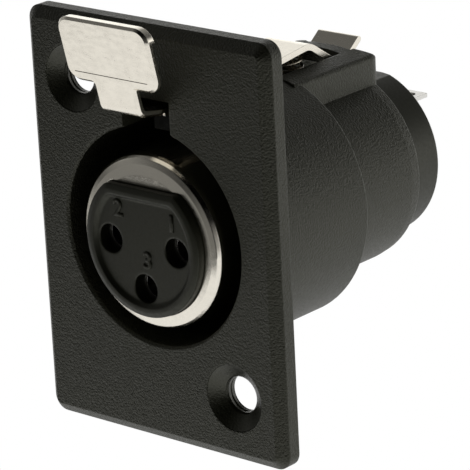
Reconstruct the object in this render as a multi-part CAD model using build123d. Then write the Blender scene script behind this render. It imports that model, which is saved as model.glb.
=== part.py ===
from build123d import *
import math
import os

# Three-contact round panel socket with a push-to-release latch.
# Millimetres. Origin: centre of the fixing holes on the flange's back face.
# +Y runs from the panel into the box, +Z is up, the mouth faces -Y.

# Flange
flange_w = 28.0
flange_h = 38.6
flange_t = 2.1
flange_corner_r = 1.4
bevel_w = 0.95
bevel_depth = 0.8
front = -flange_t

# Fixing holes, on one diagonal: top left and bottom right seen from the front
hole_x = 8.55
hole_z = 13.3
hole_r = 1.7
sink_r = 3.15
sink_depth = 1.1

# Nose shell, on an axis just below the mouth's, and the gap round it for the plug's shell
nose_axis_z = -0.4
nose_r = 8.0
nose_wall = 0.8
nose_front = -2.75
dome_depth = 1.1
nose_dome = [(0.78, 0.0), (0.9, 0.136), (0.96, 0.345), (0.99, 0.636), (1.0, 1.0)]
nose_web_t = 0.6
nose_web_back = nose_front + nose_web_t
nose_flange_t = 0.6
nose_flange_clear = 0.1
nose_bore_r = nose_r - nose_wall
shell_gap = 2.05
mouth_r = nose_r + shell_gap
mouth_depth_y = 11.9
mouth_edge = 0.22

# Barrel steps
barrel_wall = 1.7
barrel_r = mouth_r + barrel_wall
barrel_end = 13.5
bore_step = 0.6
neck_bore_r = nose_r + bore_step
neck_wall = 0.95
neck_r = neck_bore_r + neck_wall
neck_end = 24.1
neck_taper_len = 1.1
neck_taper = 0.1
web_bore_clear = 0.05
nose_back = barrel_end + nose_flange_t

# Latch channel, and the saddle that houses the rear of the latch
strip_half = 2.35
strip_clear = 0.45
channel_half = strip_half + strip_clear
notch_rise = 1.0
notch_top = barrel_r + notch_rise
saddle_wall = 2.0
saddle_half = channel_half + saddle_wall
floor_rise = 0.4
saddle_floor = neck_bore_r + floor_rise
saddle_end = 25.1
saddle_top_round = 3.0
saddle_side_round = 1.5
saddle_edge = 0.5
crown_r = 15.5
crown_drop = 0.05
crown_top = barrel_r - crown_drop
crown_z = crown_top - crown_r
arch_y0 = 21.5
arch_y1 = 22.9
arch_t = 0.6
arch_root = 0.5

# Latch pivot bar moulded across the channel
pivot_y = 11.1
bar_r = 0.5
bar_rise = 1.6
bar_top = barrel_r + bar_rise
post_w = 0.7
bar_end = channel_half + post_w
pivot_clear = 0.05

# Latch lever, bent from one strip of sheet
sheet_t = 0.6
plate_half = 5.2
plate_h = 6.0
plate_rise = 1.95
plate_bottom = notch_top + plate_rise
plate_top = plate_bottom + plate_h
plate_face_y = -6.1
plate_face_up = 1.3
plate_face_z = plate_bottom + plate_face_up
plate_lean = 0.25
plate_corner_r = 1.35
neck_fillet_r = 0.25
plate_edge = 0.25
lip_depth = 0.3
lip_w = 0.5
front_slope = 0.17
rear_slope = 0.116
front_bend_y = -4.98
front_bend_rise = 0.56
front_bend_z = barrel_r + front_bend_rise
front_bend_r = 0.9
dip_y = 1.9
dip_r = 4.0
dip_z = front_bend_z - front_slope * (dip_y - front_bend_y)
crest_y = 17.75
crest_r = 1.8
crest_z = dip_z + rear_slope * (crest_y - dip_y)
stop_y = 21.36
stop_gap = 0.05
tail_y = 23.03
tail_r = 0.8
tail_end_y = 24.85
tail_slope = 0.75
tooth_y = 0.95
tooth_half = 1.5
tooth_reach = 0.95
tooth_tip = mouth_r - tooth_reach
tooth_window = 2.2

# Return spring under the crest
spring_y = 16.8
spring_r = 1.58
wire_r = 0.22
spring_turns = 4.0
spring_turn = -90.0
spring_clear = 0.06
spring_seat = 0.01
spigot_clear = 0.26
spigot_r = spring_r - wire_r - spigot_clear
spigot_h = 1.2

# Front insert, D-shaped, with a shallow recess in its face
insert_step = 0.65
insert_r = nose_bore_r - insert_step
insert_front = -3.65
insert_flat = 5.2
insert_corner_r = 0.8
insert_fit = 0.05
rim_w = 0.45
rim_drop = 0.16
recess_step = 0.9
recess_depth = 0.35
recess_slope = 0.3
face_y = insert_front + recess_depth
contact_pitch_x = 3.85
contact_drop = 4.0

# Contacts
contact_bore_r = 1.22
contact_wall = 0.38
contact_r = contact_bore_r + contact_wall
contact_front = -1.8
contact_bore_end = 10.0
contact_fit = 0.05
cup_bore_r = 1.05
cup_wall = 0.35
shank_r = cup_bore_r + cup_wall
cup_start = 26.9
cup_cut = 29.2
cup_end = 32.2
slit = 0.35
slit_end = 7.0
slit_angle = 45.0

# Pin holes in the front insert
pin_hole_clear = 0.13
pin_hole_r = contact_bore_r + pin_hole_clear

# Rear carrier
carrier_clear = 0.04
carrier_r = neck_bore_r - carrier_clear
cap_step = 1.4
cap_r = neck_r - cap_step
cap_end = 29.0
cap_wall = 1.2
cap_floor = 26.5
cap_flat = 0.5
cap_flat_z = cap_r - cap_flat
cap_round = 0.35
snap_y = 21.6
snap_w = 0.8
snap_h = 0.15
snap_half = 1.6

# Earth tag
tag_x0 = 1.6
tag_x1 = 4.0
tag_z = 4.65
tag_t = 0.4
tag_end = 32.7
tag_foot_h = 2.75
tag_foot_top = tag_z + tag_foot_h
tag_clear = 0.05
tag_eye_r = 0.6


def rod(r, y0, y1, x=0.0, z=0.0):
    """Round bar along Y."""
    return Pos(x, (y0 + y1) / 2, z) * Rot(-90, 0, 0) * Cylinder(r, y1 - y0)


def cone(r0, r1, y0, y1, x=0.0, z=0.0):
    """Cone along Y from radius r0 at y0 to r1 at y1."""
    return Pos(x, (y0 + y1) / 2, z) * Rot(-90, 0, 0) * Cone(r0, r1, y1 - y0)


def block(x0, x1, y0, y1, z0, z1):
    """Box given by its limits."""
    centre = Pos((x0 + x1) / 2, (y0 + y1) / 2, (z0 + z1) / 2)
    return centre * Box(x1 - x0, y1 - y0, z1 - z0)


def tube(r_out, r_in, y0, y1):
    return rod(r_out, y0, y1) - rod(r_in, y0 - 1, y1 + 1)


def contact_centres():
    """Contacts 1 and 2 level with the nose's axis, contact 3 below it."""
    row = nose_axis_z
    return [(contact_pitch_x, row), (-contact_pitch_x, row), (0.0, row - contact_drop)]


side_plane = Plane((0, 0, 0), x_dir=(0, 1, 0), z_dir=(1, 0, 0))


def strip_z(y):
    """Height of the lever's middle line between the dip and the crest."""
    return dip_z + rear_slope * (y - dip_y)


def plate_y(z):
    """Front face of the press plate at height z."""
    return plate_face_y - plate_lean * (z - plate_face_z)


def arch_under(x):
    """Height of the arch's underside at x."""
    return crown_z + math.sqrt((crown_r - arch_t)**2 - x**2)


stop_z = arch_under(strip_half) - stop_gap - sheet_t / 2
pivot_z = strip_z(pivot_y) + sheet_t / 2


def flange():
    """Plate with rounded corners, bevelled round the front face."""
    plate = extrude(
        Plane.XZ * RectangleRounded(flange_w, flange_h, flange_corner_r), amount=flange_t
    )
    rim = plate.faces().sort_by(Axis.Y)[0].edges()
    return chamfer(rim, bevel_depth, bevel_w)


def fixing_hole(x, z):
    """Clearance hole with its countersink in the front face."""
    hole = rod(hole_r, front - 1, 1, x, z)
    return hole + cone(sink_r, hole_r, front, front + sink_depth, x, z)


def neck():
    """Rear step of the housing with a light taper at its end."""
    straight = rod(neck_r, 0, neck_end - neck_taper_len)
    return straight + cone(neck_r, neck_r - neck_taper, neck_end - neck_taper_len, neck_end)


def saddle():
    """Raised latch housing on the neck: shallow crown, flat sides, rounded rear."""
    y0 = barrel_end - 1
    length = saddle_end - y0
    mid = (y0 + saddle_end) / 2
    plan = Pos(0, mid) * Rectangle(2 * saddle_half, length)
    rear = [v for v in plan.vertices() if v.Y > mid]
    plan = fillet(rear, saddle_side_round)
    side = Pos(mid, barrel_r / 2) * Rectangle(length, barrel_r)
    top = [v for v in side.vertices() if v.X > mid and v.Y > 1]
    side = fillet(top, saddle_top_round)
    body = extrude(plan, amount=barrel_r)
    body &= extrude(side_plane * side, amount=saddle_half, both=True)
    body &= rod(crown_r, 0, saddle_end, 0, crown_z)
    long_edges = [e for e in body.edges() if abs(abs(e.center().X) - saddle_half) < 0.01
                  and e.center().Z > barrel_r / 2 and e.length > saddle_end / 4]
    return fillet(long_edges, saddle_edge)


def arch():
    """Bridge of the crown over the lever's tail, the stop that the lever rests against."""
    half = channel_half + arch_root
    slab = block(-half, half, arch_y0, arch_y1, 0, barrel_r)
    return (saddle() & slab) - rod(crown_r - arch_t, arch_y0 - 1, arch_y1 + 1, 0, crown_z)


def pivot_bar():
    """Round-bottomed bar across the channel on two low posts."""
    bar = Pos(0, pivot_y, pivot_z) * Rot(0, 90, 0) * Cylinder(bar_r, 2 * bar_end)
    web = block(-bar_end, bar_end, pivot_y - bar_r, pivot_y + bar_r, pivot_z, bar_top)
    post_z0 = mouth_r
    posts = [
        block(min(a, b), max(a, b), pivot_y - bar_r, pivot_y + bar_r, post_z0, bar_top)
        for a, b in ((channel_half, bar_end), (-bar_end, -channel_half))
    ]
    return bar + web + posts[0] + posts[1]


def channel():
    """Space for the lever: notch, slot along the barrel, pocket in the saddle."""
    notch = block(-channel_half, channel_half, front - 1, 0, 0, notch_top)
    slot = block(-channel_half, channel_half, -0.01, mouth_depth_y, 0, barrel_r + 1)
    pocket = block(-channel_half, channel_half, mouth_depth_y - 1, saddle_end + 1,
                   saddle_floor, barrel_r + 1)
    return notch + slot + pocket


def snap_beads(r, clear):
    """Short beads on the left and right that hold the rear carrier in the neck."""
    half = snap_w / 2 - clear
    ring = tube(r, cap_r, snap_y - half, snap_y + half)
    return ring & block(-r, r, snap_y - half, snap_y + half, clear - snap_half, snap_half - clear)


def housing():
    body = flange() + rod(barrel_r, -0.5, barrel_end) + neck() + saddle()
    body -= rod(mouth_r, front - 1, mouth_depth_y)
    body -= rod(nose_r + web_bore_clear, mouth_depth_y - 1, barrel_end + 1, 0, nose_axis_z)
    body -= rod(neck_bore_r, barrel_end, saddle_end + 1)
    body -= snap_beads(neck_bore_r + snap_h, 0)
    body -= channel()
    body -= fixing_hole(-hole_x, hole_z)
    body -= fixing_hole(hole_x, -hole_z)
    rim = [e for e in rim_circles(body, front) if abs(e.radius - mouth_r) < 0.01]
    body = chamfer(rim, mouth_edge)
    body += arch() + pivot_bar()
    body += Pos(0, spring_y, saddle_floor + spigot_h / 2) * Cylinder(spigot_r, spigot_h)
    return body


def d_bar(r, flat, corner, y0, y1):
    """Bar along Y on the nose's axis: a circle with a flat on top, corners rounded."""
    shape = Circle(r) & (Pos(0, flat - r) * Rectangle(2 * r, 2 * r))
    shape = fillet(shape.vertices(), corner)
    plane = Plane((0, y0, nose_axis_z), x_dir=(-1, 0, 0), z_dir=(0, 1, 0))
    return extrude(plane * shape, amount=y1 - y0)


def rim_circles(shape, y):
    """Circular edges that lie in the plane at y."""
    return [e for e in shape.edges().filter_by(GeomType.CIRCLE) if abs(e.center().Y - y) < 0.01]


def nose_shell():
    """Drawn cup round the insert: domed front with a D-shaped window, rear flange."""
    dome = [(share * nose_r, nose_front + back * dome_depth) for share, back in nose_dome]
    inside = [(nose_r, nose_back), (nose_bore_r, nose_back), (nose_bore_r, nose_web_back)]
    section = make_face(Polyline((0, nose_front), *dome, *inside, (0, nose_web_back), close=True))
    cup = Pos(0, 0, nose_axis_z) * revolve(section, Axis.Y)
    rim = rod(neck_bore_r - nose_flange_clear, barrel_end, nose_back)
    cup += rim - rod(nose_bore_r, barrel_end - 1, nose_back + 1, 0, nose_axis_z)
    fit = insert_fit
    return cup - d_bar(insert_r + fit, insert_flat + fit, insert_corner_r, nose_front - 1, 0)


def face_recess():
    """Shallow sloped recess that leaves a rim round the insert's face."""
    pocket = d_bar(insert_r - recess_step, insert_flat - recess_step, insert_corner_r,
                   insert_front - 1, face_y)
    return chamfer(pocket.faces().sort_by(Axis.Y)[-1].edges(), recess_slope)


def front_insert():
    """Insulator that guides the pins, keyed by its flat."""
    body = d_bar(insert_r, insert_flat, insert_corner_r, insert_front, 0)
    body = chamfer(body.faces().sort_by(Axis.Y)[0].edges(), rim_drop, rim_w)
    body -= face_recess()
    body += rod(nose_bore_r - insert_fit, nose_web_back, nose_back, 0, nose_axis_z)
    for x, z in contact_centres():
        body -= rod(pin_hole_r, insert_front, 0, x, z)
        body -= rod(contact_r + contact_fit, contact_front, nose_back + 1, x, z)
    return body


def contact(x, z):
    """Slit socket contact, shouldered at the carrier, with a half-open solder cup."""
    body = rod(contact_r, contact_front, nose_back) + rod(shank_r, nose_back, cup_end)
    body -= rod(contact_bore_r, contact_front - 1, contact_bore_end)
    gap = block(-contact_r - 1, contact_r + 1, contact_front - 1, slit_end, -slit / 2, slit / 2)
    body -= Rot(0, slit_angle, 0) * gap
    body -= rod(cup_bore_r, cup_start, cup_end + 1)
    body -= block(-shank_r, shank_r, cup_cut, cup_end + 1, 0, shank_r)
    return Pos(x, 0, z) * body


def rear_carrier():
    """Plug that closes the back, carries the contacts and ends in the cap."""
    body = rod(carrier_r, nose_back, neck_end) + rod(cap_r, neck_end, cap_end)
    body = chamfer(rim_circles(body, cap_end), cap_round)
    body += snap_beads(carrier_r + snap_h - carrier_clear, carrier_clear)
    body -= block(-cap_r, cap_r, neck_end, cap_end + 1, cap_flat_z, cap_r + 1)
    body -= rod(cap_r - cap_wall, cap_floor, cap_end + 1)
    for x, z in contact_centres():
        body -= rod(shank_r + contact_fit, nose_back - 1, cap_floor + 1, x, z)
    c = tag_clear
    body -= block(tag_x0 - c, tag_x1 + c, nose_back - 1, cap_floor + 1,
                  tag_z - c, tag_z + tag_t + c)
    body -= block(tag_x0 - c, tag_x1 + c, nose_back - 1, nose_back + tag_t + c,
                  tag_z - c, tag_foot_top + c)
    return body


def earth_tag():
    """Flat tag that joins the nose shell to a solder eye at the back."""
    tag = block(tag_x0, tag_x1, nose_back, tag_end, tag_z, tag_z + tag_t)
    tag += block(tag_x0, tag_x1, nose_back, nose_back + tag_t, tag_z, tag_foot_top)
    eye_x = (tag_x0 + tag_x1) / 2
    eye_y = tag_end - (tag_x1 - tag_x0) / 2
    return tag - Pos(eye_x, eye_y, tag_z) * Cylinder(tag_eye_r, 4 * tag_t)


def lever_line():
    """Middle line of the lever's sheet, front to back, as (y, z, bend radius)."""
    top_z = plate_top + sheet_t
    top_y = plate_y(top_z) + sheet_t / 2 * math.hypot(1, plate_lean)
    tail_z = stop_z + tail_slope * (tail_end_y - tail_y)
    return [
        (top_y, top_z, 0), (front_bend_y, front_bend_z, front_bend_r), (dip_y, dip_z, dip_r),
        (crest_y, crest_z, crest_r), (stop_y, stop_z, tail_r), (tail_y, stop_z, tail_r),
        (tail_end_y, tail_z, 0),
    ]


def bent_line(points):
    """Polyline in the YZ plane with its corners rounded."""
    parts, last = [], points[0][:2]
    for before, here, after in zip(points, points[1:], points[2:]):
        u = Vector(here[0] - before[0], here[1] - before[1]).normalized()
        w = Vector(after[0] - here[0], after[1] - here[1]).normalized()
        half = u.get_angle(w) / 2
        cut = here[2] * math.tan(math.radians(half))
        start = (here[0] - u.X * cut, here[1] - u.Y * cut)
        end = (here[0] + w.X * cut, here[1] + w.Y * cut)
        parts.append(Line(last, start))
        parts.append(TangentArc(start, end, tangent=(u.X, u.Y)))
        last = end
    parts.append(Line(last, points[-1][:2]))
    return Wire(parts)


def lever_sheet():
    """Sheet profile, full plate width, with the round seat for the pivot bar."""
    line = bent_line(lever_line())
    band = offset(line, sheet_t / 2, side=Side.BOTH, closed=True)
    face = Face(band) if isinstance(band, Wire) else make_face(band.edges())
    seat_r = bar_r + pivot_clear
    shell_r = seat_r + sheet_t
    face += Pos(pivot_y, pivot_z) * Circle(shell_r) & (
        Pos(pivot_y, pivot_z - shell_r) * Rectangle(2 * shell_r, 2 * shell_r)
    )
    face -= Pos(pivot_y, pivot_z) * Circle(seat_r)
    return extrude(side_plane * face, amount=plate_half, both=True)


def lever_outline():
    """Front view of the plate and neck, used to trim the sheet."""
    plate = RectangleRounded(2 * plate_half, plate_h, plate_corner_r)
    plate = Pos(0, plate_bottom + plate_h / 2) * plate
    stem = Pos(0, plate_bottom) * Rectangle(2 * strip_half, 2 * (plate_bottom - mouth_r))
    shape = plate + stem
    inner = [v for v in shape.vertices()
             if abs(abs(v.X) - strip_half) < 0.01 and abs(v.Y - plate_bottom) < 0.01]
    shape = fillet(inner, neck_fillet_r)
    ahead = Plane((0, front, 0), x_dir=(1, 0, 0), z_dir=(0, -1, 0))
    return extrude(ahead * shape, amount=front - plate_face_y + plate_lean * plate_h)


def plate_lip():
    """Low rim behind the plate's top edge and corners."""
    thick = sheet_t * math.hypot(1, plate_lean)
    z0 = plate_top - plate_corner_r
    ends = [(z0, thick / 2), (z0, thick + lip_depth), (plate_top, thick + lip_depth),
            (plate_top, thick / 2)]
    side = Polyline(*[(plate_y(z) + depth, z) for z, depth in ends], close=True)
    slab = extrude(side_plane * make_face(side), amount=plate_half, both=True)
    inner = RectangleRounded(2 * (plate_half - lip_w), plate_h, plate_corner_r - lip_w)
    inner = Pos(0, plate_bottom + plate_h / 2 - lip_w) * inner
    ahead = Plane((0, front, 0), x_dir=(1, 0, 0), z_dir=(0, -1, 0))
    return (slab & lever_outline()) - extrude(ahead * inner, amount=front - plate_y(plate_top) + 1)


def latch_lever():
    sheet = lever_sheet()
    head = sheet & lever_outline()
    rim = [e for e in head.edges() if e.center().Z > plate_top - plate_corner_r
           and abs(e.center().Y - plate_y(e.center().Z)) < 0.02 and abs(e.center().X) < plate_half - 0.01]
    head = chamfer(rim, plate_edge) + plate_lip()
    strip = sheet & block(-strip_half, strip_half, front - 0.01, saddle_end + tail_slope, 0, plate_top)
    lever = head + strip
    z = front_bend_z - front_slope * (tooth_y - front_bend_y)
    behind = tooth_y + sheet_t / 2
    lever -= block(-tooth_half, tooth_half, behind, behind + tooth_window,
                   z - 2 * sheet_t, z + 2 * sheet_t)
    lever += block(-tooth_half, tooth_half, tooth_y - sheet_t / 2, tooth_y + sheet_t / 2,
                   tooth_tip, z)
    return lever


def latch_spring():
    """Coil spring between the saddle's floor and the underside of the lever."""
    z0 = saddle_floor + wire_r
    z1 = strip_z(spring_y - spring_r) - sheet_t / 2 - wire_r
    height = z1 - z0 - spring_clear
    path = Helix(height / spring_turns, height, spring_r)
    start = Plane(path @ 0, z_dir=path % 0)
    coil = sweep(start * RegularPolygon(wire_r, 5), path=path, is_frenet=True)
    return Pos(0, spring_y, z0 + spring_seat) * Rot(0, 0, spring_turn) * coil


os.makedirs("parts", exist_ok=True)

nodes = {
    "housing": housing(),
    "nose_shell": nose_shell(),
    "front_insert": front_insert(),
    "rear_carrier": rear_carrier(),
    "earth_tag": earth_tag(),
    "latch_lever": latch_lever(),
    "latch_spring": latch_spring(),
}
for number, (x, z) in enumerate(contact_centres(), start=1):
    nodes[f"contact_{number}"] = contact(x, z)

for name, shape in nodes.items():
    export_step(shape, f"parts/{name}.step")
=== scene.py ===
import math

import bmesh
import bpy
from mathutils import Matrix, Vector

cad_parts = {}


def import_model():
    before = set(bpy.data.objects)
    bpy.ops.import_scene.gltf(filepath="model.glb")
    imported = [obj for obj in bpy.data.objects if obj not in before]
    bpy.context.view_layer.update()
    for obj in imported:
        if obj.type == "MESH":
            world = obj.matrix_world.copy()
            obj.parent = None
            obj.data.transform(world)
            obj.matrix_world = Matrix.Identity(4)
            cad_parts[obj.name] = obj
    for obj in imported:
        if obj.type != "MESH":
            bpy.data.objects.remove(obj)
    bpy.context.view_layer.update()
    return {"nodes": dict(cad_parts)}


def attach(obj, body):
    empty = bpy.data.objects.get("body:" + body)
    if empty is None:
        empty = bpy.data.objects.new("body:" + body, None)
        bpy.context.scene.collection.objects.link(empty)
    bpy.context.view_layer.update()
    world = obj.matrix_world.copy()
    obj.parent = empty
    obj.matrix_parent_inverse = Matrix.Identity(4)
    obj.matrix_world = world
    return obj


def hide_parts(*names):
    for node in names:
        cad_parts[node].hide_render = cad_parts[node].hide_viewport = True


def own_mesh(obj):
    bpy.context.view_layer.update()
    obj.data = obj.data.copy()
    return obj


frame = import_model()
nodes = frame["nodes"]
scene = bpy.context.scene
MM = 0.001

# Camera: fitted to the photograph, which is 470 pixels square
CAMERA_AT = Vector((186.08, -203.055, 92.045)) * MM
CAMERA_LOOK = Vector((-0.625277, 0.712180, -0.319104))
CAMERA_ROLL = math.radians(2.918)
FOCAL_PX = 3292.8
PHOTO_PX = 470
SENSOR = 36
CLIP = (0.02, 10)

# Places on the object, in millimetres
FACE_Y = -3.3
HOLES = ((-8.55, 13.3), (8.55, -13.3))
SINK_R, WALL_R, MARK_EDGE = 3.1, 1.8, 0.05
# Rims behind this depth get the painted highlight
RIM_HIGHLIGHT_FROM, RIM_HIGHLIGHT_FADE = 12.5, 0.5
# The lever's tooth below this height gets painted shade
TOOTH_TOP, TOOTH_FADE = 10.8, 0.2
PLATE_Y, PLATE_Z, PLATE_LEAN = -6.165, 16.0, 0.238
BARREL_R = 11.75

# Pieces made here: millimetres, shares and counts
NUMERALS = {"2": (-2.78, 2.55), "1": (3.45, 2.17), "3": (0.4, -1.8)}
NUMERAL_HEIGHT, CAPITAL_SHARE = 1.5, 0.7
NUMERAL_STAND, NUMERAL_ROUND, NUMERAL_BOLD = 0.07, 0.05, 0.02
LINE_X, LINE_Z, LINE_R = (-4.2, 4.1), 15.6, 0.05
LINE_SUNK_SHARE, LINE_SIDES = 0.5, 12
HOOD_HALF, HOOD_TOP, HOOD_Y = 3.5, 13.3, (-0.2, 10.2)
HOOD_IN_HALF, HOOD_IN_TOP, HOOD_ROUND = 2.8, 12.75, 0.5
HOOD_SUNK, HOOD_STEPS = 0.3, 4
SPRING_Y, SPRING_Z, SPRING_R, SPRING_TURNS = 16.8, (9.28, 12.1), 1.58, 4
SPRING_FOOT, SPRING_KEEP, WIRE_R = 9.0, 0.94, 0.21
SPRING_STEPS, WIRE_SIDES = 24, 10
FLOOR_Z, FLOOR_NEAR, FLOOR_FAR = -64.0, -128, 420

# Finishes: depths in millimetres, noise scales in features per metre
BODY_GLOSS, INSERT_GLOSS = 0.68, 0.56
PLASTIC_TINT = (1.0, 1.0, 0.86, 1)
PLASTIC_SCALE, PLASTIC_TONES, PLASTIC_SPREAD = 160, (0.75, 1.35), (-0.06, 0.08)
METAL_SCALE, METAL_TONES, METAL_SPREAD = 300, (0.93, 1), (-0.04, 0.06)
DRAWN_SCALE, DRAWN_DEPTH = 2500, 0.0007
NOISE_RANGE = (0.3, 0.7)
SINK_GRAIN, SINK_POLISH = 0.3, -0.12
RIDGE_PITCH, RIDGE_DEPTH = 0.45, 0.05
# Painted highlight: light grey tone mixed in along the rims, where the edge normal turns this
# far
RIM_HIGHLIGHT_TONE, RIM_HIGHLIGHT_TURN = (0.3, 0.31, 0.28, 1), (0.93, 0.78)
# Painted shade: near-black tone for the lever's tooth
TOOTH_SHADE_TONE = (0.02, 0.02, 0.018, 1)
EDGE_SAMPLES = 12
SMOOTH_BELOW = math.radians(30)

# Lamp behind, in metres and watts
LAMP_AT, LAMP_AIM, LAMP_SIZE, LAMP_POWER = (-0.32, 0.33, 0.25), (0, 0.01, 0), 0.3, 0.125

# Studio light by direction, in eight equal steps from the back, turning to the right
BELOW = (1.0, 1.35, 0.6, 0.0, 0.25, 0.08, 0.8, 0.8)
HORIZON = (1.3, 1.7, 0.8, 0.0, 0.2, 0.25, 0.0, 1.7)
UPPER = (0.5, 0.0, 0.0, 0.0, 0.0, 0.15, 0.4, 0.65)
BANDS = (
    (BELOW, ((0.325, 1.0), (0.5, 0.0))),
    (HORIZON, ((0.325, 0.0), (0.5, 1.0), (0.675, 0.0))),
    (UPPER, ((0.5, 0.0), (0.675, 1.0), (1.0, 0.0))),
)
LIGHT_COLOUR = (1, 0.995, 0.97, 1)


# Shader helpers
def new_material(name):
    material = bpy.data.materials.new(name)
    material.use_nodes = True
    tree = material.node_tree
    return material, tree, tree.nodes["Principled BSDF"]


def add(tree, kind, **values):
    """A shader node with its sockets or properties set by name."""
    node = tree.nodes.new(kind)
    for key, value in values.items():
        if key in node.inputs:
            node.inputs[key].default_value = value
        else:
            setattr(node, key, value)
    return node


def link(tree, source, output, target, socket):
    tree.links.new(source.outputs[output], target.inputs[socket])


def combine(tree, operation, first, first_output, second, second_output):
    """A maths node that takes two values."""
    node = add(tree, "ShaderNodeMath", operation=operation)
    link(tree, first, first_output, node, 0)
    link(tree, second, second_output, node, 1)
    return node


def split(tree, source, output):
    """A vector's X, Y and Z."""
    node = tree.nodes.new("ShaderNodeSeparateXYZ")
    link(tree, source, output, node, 0)
    return node


def noise(tree, coords, scale, detail, stretch=(1, 1, 1)):
    """Noise in object space. scale is features per metre."""
    mapping = add(tree, "ShaderNodeMapping", Scale=stretch)
    link(tree, coords, "Object", mapping, "Vector")
    texture = add(tree, "ShaderNodeTexNoise", Scale=scale, Detail=detail)
    link(tree, mapping, "Vector", texture, "Vector")
    return texture


def spread(tree, source, output, low, high, from_low=0.0, from_high=1.0):
    """Maps a value to the range low to high."""
    node = tree.nodes.new("ShaderNodeMapRange")
    node.inputs["From Min"].default_value = from_low
    node.inputs["From Max"].default_value = from_high
    node.inputs["To Min"].default_value = low
    node.inputs["To Max"].default_value = high
    link(tree, source, output, node, "Value")
    return node


def toned(tree, source, colour, dark, light):
    """The colour, which a noise varies between two shares of it."""
    ramp = tree.nodes.new("ShaderNodeValToRGB")
    for element, share in zip(ramp.color_ramp.elements, (dark, light)):
        element.color = (*[c * share for c in colour], 1)
    link(tree, source, "Fac", ramp, "Fac")
    return ramp


def bump(tree, height, output, distance, normal):
    node = add(tree, "ShaderNodeBump", Distance=distance * MM, Strength=1.0)
    link(tree, height, output, node, "Height")
    link(tree, normal, "Normal", node, "Normal")
    return node


def soft_edges(tree, radius):
    node = tree.nodes.new("ShaderNodeBevel")
    node.samples = EDGE_SAMPLES
    node.inputs["Radius"].default_value = radius * MM
    return node


# Marks on the black body, and a painted highlight along its rims
def hole_distance(tree, coords, x, z):
    """Distance from a fixing hole's axis."""
    centred = add(tree, "ShaderNodeVectorMath", operation="SUBTRACT")
    centred.inputs[1].default_value = (x * MM, 0, z * MM)
    link(tree, coords, "Object", centred, 0)
    level = add(tree, "ShaderNodeVectorMath", operation="MULTIPLY")
    level.inputs[1].default_value = (1, 0, 1)
    link(tree, centred, 0, level, 0)
    radius = add(tree, "ShaderNodeVectorMath", operation="LENGTH")
    link(tree, level, 0, radius, 0)
    return radius


def near_holes(tree, coords, radius):
    """One inside this radius of either fixing hole's axis, zero outside."""
    both = add(tree, "ShaderNodeMath", operation="ADD")
    for socket, (x, z) in enumerate(HOLES):
        distance = hole_distance(tree, coords, x, z)
        inside = spread(tree, distance, "Value", 1, 0, (radius - MARK_EDGE) * MM, radius * MM)
        link(tree, inside, "Result", both, socket)
    return both


def hole_ridges(tree, coords):
    """Fine ridges down the walls of the fixing holes."""
    depth = add(tree, "ShaderNodeVectorMath", operation="DOT_PRODUCT")
    depth.inputs[1].default_value = (0, 2 * math.pi / (RIDGE_PITCH * MM), 0)
    link(tree, coords, "Object", depth, 0)
    wave = add(tree, "ShaderNodeMath", operation="SINE")
    link(tree, depth, "Value", wave, 0)
    return combine(tree, "MULTIPLY", wave, 0, near_holes(tree, coords, WALL_R), 0)


def painted_rim_highlight(tree, coords, edges):
    """Painted highlight mask: one along the sharp rims behind the flange, zero elsewhere."""
    surface = tree.nodes.new("ShaderNodeNewGeometry")
    turned = add(tree, "ShaderNodeVectorMath", operation="DOT_PRODUCT")
    link(tree, surface, "Normal", turned, 0)
    link(tree, edges, "Normal", turned, 1)
    rim = spread(tree, turned, "Value", 0, 1, *RIM_HIGHLIGHT_TURN)
    place = split(tree, coords, "Object")
    behind = spread(tree, place, "Y", 0, 1, RIM_HIGHLIGHT_FROM * MM, (RIM_HIGHLIGHT_FROM + RIM_HIGHLIGHT_FADE) * MM)
    return combine(tree, "MULTIPLY", rim, "Result", behind, "Result")


# Materials
def black_plastic(name, colour, gloss, roughness, grain, depth, edge, marks_and_rim_highlight=False):
    """Moulded plastic: fine crinkle, slow tone changes, rounded edges."""
    material, tree, shader = new_material(name)
    shader.inputs["Specular IOR Level"].default_value = gloss
    shader.inputs["Specular Tint"].default_value = PLASTIC_TINT
    coords = tree.nodes.new("ShaderNodeTexCoord")
    slow = noise(tree, coords, PLASTIC_SCALE, detail=3)
    base = toned(tree, slow, colour, *PLASTIC_TONES)
    link(tree, base, "Color", shader, "Base Color")
    crinkle = noise(tree, coords, 1000 / grain, detail=3)
    low, high = PLASTIC_SPREAD
    rough = spread(tree, crinkle, "Fac", roughness + low, roughness + high, *NOISE_RANGE)
    edges = soft_edges(tree, edge)
    if marks_and_rim_highlight:
        # Painted highlight: a lighter grey mixed into the colour along the rims behind the
        # flange
        tint = add(tree, "ShaderNodeMix", data_type="RGBA")
        tint.inputs["B"].default_value = RIM_HIGHLIGHT_TONE
        link(tree, painted_rim_highlight(tree, coords, edges), 0, tint, "Factor")
        link(tree, base, "Color", tint, "A")
        link(tree, tint, "Result", shader, "Base Color")
        plain = near_holes(tree, coords, SINK_R)
        kept = spread(tree, plain, 0, 1, SINK_GRAIN)
        grained = combine(tree, "MULTIPLY", crinkle, "Fac", kept, "Result")
        polish = spread(tree, plain, 0, 0, SINK_POLISH)
        smoothed = combine(tree, "ADD", rough, "Result", polish, "Result")
        link(tree, smoothed, 0, shader, "Roughness")
        relief = bump(tree, grained, 0, depth, edges)
        relief = bump(tree, hole_ridges(tree, coords), 0, RIDGE_DEPTH, relief)
    else:
        link(tree, rough, "Result", shader, "Roughness")
        relief = bump(tree, crinkle, "Fac", depth, edges)
    link(tree, relief, "Normal", shader, "Normal")
    return material


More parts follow.
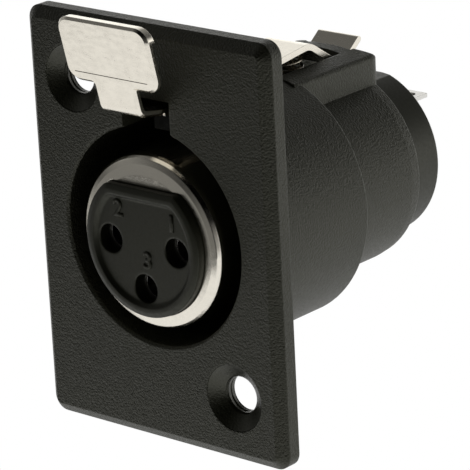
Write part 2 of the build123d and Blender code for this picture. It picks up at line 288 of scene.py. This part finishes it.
def plated_metal(name, colour, roughness, stretch, edge, painted_shade_below=None):
    """Plated metal with fine drawn lines and slight waviness."""
    material, tree, shader = new_material(name)
    shader.inputs["Metallic"].default_value = 1.0
    coords = tree.nodes.new("ShaderNodeTexCoord")
    slow = noise(tree, coords, METAL_SCALE, detail=2)
    base = toned(tree, slow, colour, *METAL_TONES)
    link(tree, base, "Color", shader, "Base Color")
    # Painted shade: the colour fades to near black below the given height
    if painted_shade_below is not None:
        place = split(tree, coords, "Object")
        fade_from = (painted_shade_below - TOOTH_FADE) * MM
        above = spread(tree, place, "Z", 0, 1, fade_from, painted_shade_below * MM)
        tint = add(tree, "ShaderNodeMix", data_type="RGBA")
        tint.inputs["A"].default_value = TOOTH_SHADE_TONE
        link(tree, above, "Result", tint, "Factor")
        link(tree, base, "Color", tint, "B")
        link(tree, tint, "Result", shader, "Base Color")
    lines = noise(tree, coords, DRAWN_SCALE, 2, stretch)
    low, high = METAL_SPREAD
    rough = spread(tree, lines, "Fac", roughness + low, roughness + high, *NOISE_RANGE)
    link(tree, rough, "Result", shader, "Roughness")
    relief = bump(tree, lines, "Fac", DRAWN_DEPTH, soft_edges(tree, edge))
    link(tree, relief, "Normal", shader, "Normal")
    return material


body_black = black_plastic(
    "body_black", (0.012, 0.013, 0.0045), BODY_GLOSS, roughness=0.48,
    grain=0.18, depth=0.12, edge=0.22, marks_and_rim_highlight=True)
insert_black = black_plastic(
    "insert_black", (0.011, 0.012, 0.0045), INSERT_GLOSS, roughness=0.48,
    grain=0.25, depth=0.004, edge=0.3)
nickel_ring = plated_metal(
    "nickel_ring", (0.82, 0.78, 0.69), roughness=0.2, stretch=(1, 0.1, 1), edge=0.18)
nickel_lever = plated_metal(
    "nickel_lever", (0.83, 0.785, 0.69), roughness=0.22, stretch=(0.5, 1, 1), edge=0.06,
    painted_shade_below=TOOTH_TOP)
spring_wire = plated_metal(
    "spring_wire", (0.5, 0.46, 0.38), roughness=0.25, stretch=(1, 1, 1), edge=0.02)
contact_metal = plated_metal(
    "contact_metal", (0.78, 0.76, 0.72), roughness=0.22, stretch=(1, 0.1, 1), edge=0.03)
# Painted shade: the dark tone of the pressed line on the press plate
line_shade = plated_metal(
    "line_shade", (0.2, 0.18, 0.15), roughness=0.5, stretch=(0.5, 1, 1), edge=0.02)
tinned_metal = plated_metal(
    "tinned_metal", (0.72, 0.71, 0.68), roughness=0.35, stretch=(1, 0.3, 1), edge=0.04)

FINISHES = {
    "housing": body_black,
    "front_insert": insert_black,
    "rear_carrier": insert_black,
    "nose_shell": nickel_ring,
    "latch_lever": nickel_lever,
    "latch_spring": spring_wire,
    "earth_tag": tinned_metal,
    "contact_1": contact_metal,
    "contact_2": contact_metal,
    "contact_3": contact_metal,
}


def dress(node, material):
    """Gives a CAD node its finish, and smooth shading where faces turn gently."""
    mesh = node.data
    for slot in node.material_slots:
        slot.material = material
    if not mesh.materials:
        mesh.materials.append(material)
    mesh.shade_smooth()
    mesh.set_sharp_from_angle(angle=SMOOTH_BELOW)


for node_name, finish in FINISHES.items():
    dress(nodes[node_name], finish)


# Pieces
def new_piece(name, shape, material):
    """An object made from a finished shape."""
    mesh = bpy.data.meshes.new(name)
    shape.to_mesh(mesh)
    shape.free()
    mesh.materials.append(material)
    piece = bpy.data.objects.new(name, mesh)
    scene.collection.objects.link(piece)
    return piece


def numeral(character, x, z):
    """Raised contact number on the insert's face, read from the front."""
    curve = bpy.data.curves.new(f"numeral_{character}", "FONT")
    curve.body = character
    curve.size = NUMERAL_HEIGHT * MM / CAPITAL_SHARE
    curve.align_x, curve.align_y = "CENTER", "CENTER"
    curve.extrude = NUMERAL_STAND * MM
    curve.bevel_depth = NUMERAL_ROUND * MM
    curve.offset = NUMERAL_BOLD * MM
    text = bpy.data.objects.new(f"numeral_{character}", curve)
    scene.collection.objects.link(text)
    text.matrix_world = (
        Matrix.Translation((x * MM, FACE_Y * MM, z * MM)) @ Matrix.Rotation(math.pi / 2, 4, "X")
    )
    curve.materials.append(insert_black)
    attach(text, "socket")


def plate_line():
    """Plain pressed line across the lower part of the press plate, drawn as a thin dark rod:
    painted shade of the crease.
    """
    left, right = LINE_X
    shape = bmesh.new()
    bmesh.ops.create_cone(shape, cap_ends=True, segments=LINE_SIDES, radius1=LINE_R * MM,
                          radius2=LINE_R * MM, depth=(right - left) * MM)
    line = new_piece("plate_line", shape, line_shade)
    y = PLATE_Y - PLATE_LEAN * (LINE_Z - PLATE_Z) + LINE_R * LINE_SUNK_SHARE
    place = Matrix.Translation(((left + right) / 2 * MM, y * MM, LINE_Z * MM))
    line.matrix_world = place @ Matrix.Rotation(math.pi / 2, 4, "Y")
    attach(line, "latch")


def channel_hood():
    """Low black hood over the lever's strip, from the flange back along the channel."""
    foot = math.sqrt(BARREL_R ** 2 - HOOD_HALF ** 2) - HOOD_SUNK
    turn = [math.radians(90 * i / HOOD_STEPS) for i in range(HOOD_STEPS + 1)]
    corner = [
        (HOOD_HALF - HOOD_ROUND * (1 - math.cos(a)), HOOD_TOP - HOOD_ROUND * (1 - math.sin(a)))
        for a in turn
    ]
    half = [(HOOD_HALF, foot), *corner]
    inner = [(HOOD_IN_HALF, foot), (HOOD_IN_HALF, HOOD_IN_TOP)]
    outline = half + [(-x, z) for x, z in reversed(half)]
    outline += [(-x, z) for x, z in inner] + list(reversed(inner))
    near, far = HOOD_Y
    shape = bmesh.new()
    front = shape.faces.new([shape.verts.new((x * MM, near * MM, z * MM)) for x, z in outline])
    back = bmesh.ops.extrude_face_region(shape, geom=[front])["geom"]
    moved = [v for v in back if isinstance(v, bmesh.types.BMVert)]
    bmesh.ops.translate(shape, verts=moved, vec=(0, (far - near) * MM, 0))
    bmesh.ops.recalc_face_normals(shape, faces=shape.faces)
    hood = new_piece("channel_hood", shape, body_black)
    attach(hood, "socket")


def coil_spring():
    """Round wire coil, shown in place of the CAD spring, which is hidden."""
    steps = SPRING_TURNS * SPRING_STEPS
    low, high = SPRING_Z
    up = Vector((0, 0, 1))
    angles = [2 * math.pi * j / WIRE_SIDES for j in range(WIRE_SIDES)]
    shape = bmesh.new()
    rings = []
    for i in range(steps + 1):
        turn = 2 * math.pi * i / SPRING_STEPS - math.pi / 2
        out = Vector((math.cos(turn), math.sin(turn), 0))
        centre = Vector((0, SPRING_Y, low + (high - low) * i / steps)) + out * SPRING_R
        rings.append([
            shape.verts.new((centre + (out * math.cos(a) + up * math.sin(a)) * WIRE_R) * MM)
            for a in angles
        ])
    for near, far in zip(rings, rings[1:]):
        for j in range(WIRE_SIDES):
            shape.faces.new((near[j], near[j - 1], far[j - 1], far[j]))
    shape.faces.new(rings[0])
    shape.faces.new(rings[-1])
    bmesh.ops.recalc_face_normals(shape, faces=shape.faces)
    coil = new_piece("coil_spring", shape, spring_wire)
    coil.data.shade_smooth()
    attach(coil, "socket")
    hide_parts("latch_spring")
    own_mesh(coil)


for character, (x, z) in NUMERALS.items():
    numeral(character, x, z)
plate_line()
channel_hood()
coil_spring()


# Surroundings
def seen_white(tree, shader, output):
    """White where a camera, glossy or transmitted ray meets it."""
    paths = tree.nodes.new("ShaderNodeLightPath")
    either = combine(tree, "MAXIMUM", paths, "Is Camera Ray", paths, "Is Glossy Ray")
    any_of = combine(tree, "MAXIMUM", either, 0, paths, "Is Transmission Ray")
    white = add(tree, "ShaderNodeEmission", Color=(1, 1, 1, 1), Strength=1.0)
    mix = tree.nodes.new("ShaderNodeMixShader")
    link(tree, any_of, 0, mix, 0)
    link(tree, shader, 0, mix, 1)
    link(tree, white, 0, mix, 2)
    link(tree, mix, 0, output, "Surface")


def floor():
    """Finite pale floor below the socket, white to the eye and in reflections."""
    near, far = FLOOR_NEAR, FLOOR_FAR
    corners = [(near, near), (far, near), (far, far), (near, far)]
    shape = bmesh.new()
    shape.faces.new([shape.verts.new((x * MM, y * MM, FLOOR_Z * MM)) for x, y in corners])
    material, tree, shader = new_material("pale_floor")
    shader.inputs["Base Color"].default_value = (0.9, 0.9, 0.9, 1)
    shader.inputs["Roughness"].default_value = 0.9
    seen_white(tree, shader, tree.nodes["Material Output"])
    plane = new_piece("floor", shape, material)


def tones(tree, source, output, stops):
    """Maps a value to levels given as (place, level), straight between them."""
    node = tree.nodes.new("ShaderNodeValToRGB")
    elements = node.color_ramp.elements
    while len(elements) < len(stops):
        elements.new(0.5)
    for element, (place, level) in zip(elements, stops):
        element.position = place
        element.color = (level, level, level, 1)
    link(tree, source, output, node, "Fac")
    return node


def round_about(levels):
    """Ramp stops for levels given at equal steps from the back, turning to the right."""
    count = len(levels)
    return [(i / count, levels[(i + count // 2) % count]) for i in range(count + 1)]


def world():
    """White background. For light and reflections it is brightest behind and low down."""
    scene.world = bpy.data.worlds.new("studio")
    scene.world.use_nodes = True
    tree = scene.world.node_tree
    tree.nodes.clear()
    output = tree.nodes.new("ShaderNodeOutputWorld")
    place = split(tree, tree.nodes.new("ShaderNodeTexCoord"), "Generated")
    turn = combine(tree, "ARCTAN2", place, "X", place, "Y")
    around = spread(tree, turn, 0, 0, 1, -math.pi, math.pi)
    upward = spread(tree, place, "Z", 0, 1, -1, 1)
    total = None
    for levels, heights in BANDS:
        level = tones(tree, around, "Result", round_about(levels))
        weight = tones(tree, upward, "Result", heights)
        part = combine(tree, "MULTIPLY", level, "Color", weight, "Color")
        total = part if total is None else combine(tree, "ADD", total, 0, part, 0)
    light = add(tree, "ShaderNodeBackground", Color=LIGHT_COLOUR)
    link(tree, total, 0, light, "Strength")
    white = add(tree, "ShaderNodeBackground", Color=(1, 1, 1, 1), Strength=1.0)
    paths = tree.nodes.new("ShaderNodeLightPath")
    mix = tree.nodes.new("ShaderNodeMixShader")
    link(tree, paths, "Is Camera Ray", mix, 0)
    link(tree, light, 0, mix, 1)
    link(tree, white, 0, mix, 2)
    link(tree, mix, 0, output, "Surface")


def area_light(name, place, target, size, power):
    lamp = bpy.data.lights.new(name, "AREA")
    lamp.size = size
    lamp.energy = power
    light = bpy.data.objects.new(name, lamp)
    light.location = place
    light.rotation_euler = (Vector(target) - Vector(place)).to_track_quat("-Z", "Y").to_euler()
    scene.collection.objects.link(light)


def camera():
    data = bpy.data.cameras.new("camera")
    data.sensor_width = SENSOR
    data.lens = FOCAL_PX / PHOTO_PX * SENSOR
    data.clip_start, data.clip_end = CLIP
    eye = bpy.data.objects.new("camera", data)
    scene.collection.objects.link(eye)
    level = CAMERA_LOOK.to_track_quat("-Z", "Y").to_matrix().to_4x4()
    roll = Matrix.Rotation(-CAMERA_ROLL, 4, "Z")
    eye.matrix_world = Matrix.Translation(CAMERA_AT) @ level @ roll
    scene.camera = eye


floor()
world()
area_light("softbox_back", LAMP_AT, LAMP_AIM, LAMP_SIZE, LAMP_POWER)
camera()
scene.view_settings.view_transform = "Standard"
